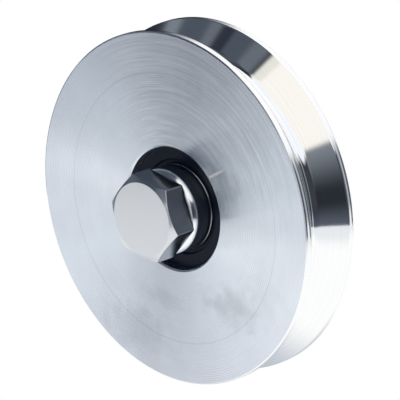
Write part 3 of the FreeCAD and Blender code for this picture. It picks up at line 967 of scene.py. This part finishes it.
# Softboxes, each over the ones before it: name, azimuth from and to, elevation from and to, widths
# over which it fades at its sides, below and above, all in degrees, then colour
SOFTBOXES = [
    ("left_haze", -80, -6, -14, 26, 10, 2, 20, (0.035, 0.065, 0.12)),
    ("left_mid", -86, -44, 6, 24, 12, 8, 8, (0.12, 0.14, 0.175)),
    ("left_glow", -125, -16, 22, 74, 20, 14, 16, (0.070, 0.085, 0.11)),
    ("left_bright_band", -88, -82, 10, 36, 3, 6, 6, (0.19, 0.215, 0.25)),
    ("left_light_band", -68, -61, 32, 56, 4, 6, 6, (0.13, 0.15, 0.18)),
    ("left_dark_band", -60, -51, 36, 60, 4, 6, 6, (0.026, 0.032, 0.045)),
    ("top_band", -32, -16, 44, 68, 8, 8, 8, (0.13, 0.15, 0.18)),
    ("low_far_left", -122, -88, -26, -6, 8, 2, 6, (0.25, 0.27, 0.31)),
    ("low_left", -84, -48, -22, 1, 8, 2, 6, (0.37, 0.425, 0.50)),
    ("low_front", -33, -4, -22, 1, 8, 2, 6, (0.88, 0.94, 1.0)),
    ("behind_glow", 128, 175, -12, 24, 8, 10, 2, (0.22, 0.245, 0.29)),
    ("behind_mid", 143, 163, -8, 26, 4, 6, 4, (0.50, 0.53, 0.58)),
    ("behind_low", 133, 152, -30, -8, 4, 2, 6, (0.97, 0.98, 1.0)),
    ("behind_left", -152, -134, 8, 34, 6, 6, 6, (0.36, 0.38, 0.42)),
    ("behind", 134, 222, 20, 90, 6, 5, 2, (1.0, 1.0, 1.0)),
    ("front_glow", 30, 60, 14, 40, 6, 24, 2, (0.20, 0.225, 0.26)),
    ("right", 60, 128, -6, 24, 8, 10, 4, (0.042, 0.046, 0.056)),
    ("low_right", 34, 128, -17, -8, 6, 2, 12, (0.085, 0.10, 0.13)),
    ("centre_dim", -16, 7, 8, 36, 6, 6, 6, (0.15, 0.175, 0.21)),
    ("strip_foot", 0, 32, -19, 12, 6, 4, 8, (0.42, 0.45, 0.49)),
    ("strip", 8, 32, 10, 40, 4, 8, 2, (0.97, 0.98, 1.0)),
    ("zenith", -10, 150, 66, 90, 12, 6, 2, (0.90, 0.92, 0.98)),
    ("right_upper", 48, 138, 27, 70, 8, 5, 2, (0.93, 0.95, 1.0)),
    ("above_camera", -8, 52, 38, 68, 6, 3, 6, (0.965, 0.94, 0.87)),
    ("above_camera_edge", -11.3, -2, 38, 68, 4, 3, 6, (0.80, 0.785, 0.725)),
    ("above_camera_right", 24, 52, 24, 40, 5, 3, 2, (0.965, 0.94, 0.87)),
]
ROOM_DARK = (0.022, 0.025, 0.033)


def make_world():
    """Studio seen by reflections: softboxes in a dark room, and plain white to the camera."""
    world = bpy.data.worlds.new("studio")
    bpy.context.scene.world = world
    world.use_nodes = True
    tree = world.node_tree
    tree.nodes.clear()
    look = tree.nodes.new("ShaderNodeTexCoord").outputs["Generated"]
    softbox = make_softbox_group()
    total = ROOM_DARK
    for name, start, end, low, high, side_border, low_border, high_border, color in SOFTBOXES:
        middle = (start + end) / 2
        box = place_group(tree, softbox, {
            "Front": direction(middle, 0), "Right": direction(middle + 90, 0),
            "Half azimuth": (end - start) / 2, "Low": low, "High": high,
            "Side border": side_border, "Low border": low_border, "High border": high_border})
        box.label = name
        tree.links.new(look, box.inputs["Direction"])
        total = mix_color(tree, box.outputs["Mask"], total, color)
    studio = tree.nodes.new("ShaderNodeBackground")
    tree.links.new(total, studio.inputs["Color"])
    white = tree.nodes.new("ShaderNodeBackground")
    white.inputs["Color"].default_value = (1, 1, 1, 1)
    output = tree.nodes.new("ShaderNodeOutputWorld")
    tree.links.new(white_to_camera(tree, studio, white), output.inputs["Surface"])


def white_to_camera(tree, reflected, white):
    """Mix of two shaders: the white one where the camera looks, and the other in reflections."""
    path = tree.nodes.new("ShaderNodeLightPath")
    seen = math_node(tree, "MAXIMUM", path.outputs["Is Camera Ray"],
                     path.outputs["Is Transmission Ray"])
    mix = tree.nodes.new("ShaderNodeMixShader")
    tree.links.new(seen, mix.inputs[0])
    tree.links.new(reflected.outputs[0], mix.inputs[1])
    tree.links.new(white.outputs[0], mix.inputs[2])
    return mix.outputs[0]


# Table: how far its edge is from the axle at each azimuth, in degrees and metres
TABLE_EDGE = [
    (-180, 0.95), (-160, 0.95), (-145, 0.70), (-135, 0.60), (-118, 0.42), (-96, 0.42),
    (-84, 0.66), (-74, 0.645), (-60, 0.60), (-44, 0.55), (-30, 0.525), (-14, 0.51),
    (0, 0.51), (20, 0.53), (46, 0.616), (60, 0.648), (75, 0.66), (100, 0.665),
    (128, 0.65), (150, 0.50), (170, 0.42), (175, 0.95), (180, 0.95),
]
TABLE_EDGE_POINTS = 128
TABLE_HEIGHT = -0.15
# Its shaded middle and its dimmer far end: centre x and y, where the change starts and ends, colour
TABLE_SHADE_CENTRE = (-0.062, 0.056, TABLE_HEIGHT)
TABLE_SHADE_REACH = (0.05495, 0.157)
TABLE_SHADE = (0.52, 0.56, 0.62)
TABLE_LIT_CENTRE = (-0.10, 0.10, TABLE_HEIGHT)
TABLE_LIT_REACH = (0.45, 0.62)
TABLE_FAR = (0.82, 0.84, 0.87)
TABLE_PAPER = (0.85, 0.86, 0.87)


def make_table():
    """White table below the wheel, darker in reflections where the wheel shades it.

    It is one flat face whose edge is a distance over the azimuth, joined up by straight lines.
    """
    azimuths = np.linspace(-180, 180, TABLE_EDGE_POINTS, endpoint=False)
    reaches = np.interp(azimuths, *zip(*TABLE_EDGE))
    points = np.stack([reaches * np.sin(np.radians(azimuths)),
                       -reaches * np.cos(np.radians(azimuths)),
                       np.full(TABLE_EDGE_POINTS, TABLE_HEIGHT)], axis=1)
    mesh = bpy.data.meshes.new("table")
    mesh.from_pydata(points, [], [list(range(TABLE_EDGE_POINTS))])
    table = bpy.data.objects.new("table", mesh)
    bpy.context.scene.collection.objects.link(table)
    material = bpy.data.materials.new("pale_table")
    material.use_nodes = True
    tree = material.node_tree
    tree.nodes.clear()
    position = tree.nodes.new("ShaderNodeTexCoord").outputs["Object"]
    away = vector_node(tree, "LENGTH", vector_node(tree, "SUBTRACT", position, TABLE_SHADE_CENTRE))
    shaded = ramp(tree, away, *TABLE_SHADE_REACH, 1.0, 0.0)
    beyond = vector_node(tree, "LENGTH", vector_node(tree, "SUBTRACT", position, TABLE_LIT_CENTRE))
    fading = ramp(tree, beyond, *TABLE_LIT_REACH, 0.0, 1.0)
    top = mix_color(tree, fading, (1, 1, 1), TABLE_FAR)
    glow = tree.nodes.new("ShaderNodeEmission")
    tree.links.new(mix_color(tree, shaded, top, TABLE_SHADE), glow.inputs["Color"])
    white = tree.nodes.new("ShaderNodeEmission")
    white.inputs["Color"].default_value = (1, 1, 1, 1)
    paper = tree.nodes.new("ShaderNodeBsdfDiffuse")
    paper.inputs["Color"].default_value = (*TABLE_PAPER, 1)
    path = tree.nodes.new("ShaderNodeLightPath")
    reflected = tree.nodes.new("ShaderNodeMixShader")
    tree.links.new(path.outputs["Is Glossy Ray"], reflected.inputs[0])
    tree.links.new(paper.outputs[0], reflected.inputs[1])
    tree.links.new(glow.outputs[0], reflected.inputs[2])
    output = tree.nodes.new("ShaderNodeOutputMaterial")
    tree.links.new(white_to_camera(tree, reflected, white), output.inputs["Surface"])
    mesh.materials.append(material)


# View of the photograph, found from the wheel's outline: angles, distance and shift in radii of its
# face, and the lens
VIEW_AZIMUTH_DEG = 43.616
VIEW_ELEVATION_DEG = 18.86
VIEW_DISTANCE = 30.59
VIEW_FOCAL_PIXELS = 5513.7
VIEW_SIDESTEP = 0.1501
VIEW_RISE = 0.0493
PICTURE_PIXELS = 400
SENSOR_WIDTH = 36.0


def make_camera():
    """Camera at the photograph's viewing angle."""
    unit = (WHEEL_RADIUS - CHAMFER_REACH) * MM
    back = direction(VIEW_AZIMUTH_DEG, VIEW_ELEVATION_DEG)
    right = direction(VIEW_AZIMUTH_DEG + 90, 0)
    up = back.cross(right)
    data = bpy.data.cameras.new("camera")
    data.sensor_width = SENSOR_WIDTH
    data.lens = SENSOR_WIDTH * VIEW_FOCAL_PIXELS / PICTURE_PIXELS
    camera = bpy.data.objects.new("camera", data)
    bpy.context.scene.collection.objects.link(camera)
    face = Vector((0, WHEEL_FRONT * MM, 0))
    camera.location = face + (back * VIEW_DISTANCE + right * VIEW_SIDESTEP + up * VIEW_RISE) * unit
    camera.rotation_mode = "QUATERNION"
    camera.rotation_quaternion = Matrix((right, up, back)).transposed().to_quaternion()
    bpy.context.scene.camera = camera


make_wheel()
make_seal("seal_front_rubber", "seal_front", BEARING_FRONT, 1)
make_seal("seal_rear_rubber", "seal_rear", BEARING_BACK, -1)
make_spacer("spacer_front_turned", "spacer_front", SPACER_FRONT_END, BEARING_FRONT, -1)
make_spacer("spacer_rear_turned", "spacer_rear", SPACER_REAR_END, BEARING_BACK, 1)
make_bolt_head()
make_bolt_shank()
make_plain_washer()
make_nut()
finish_solids()
make_world()
make_table()
make_camera()

bpy.context.scene.view_settings.view_transform = "Standard"
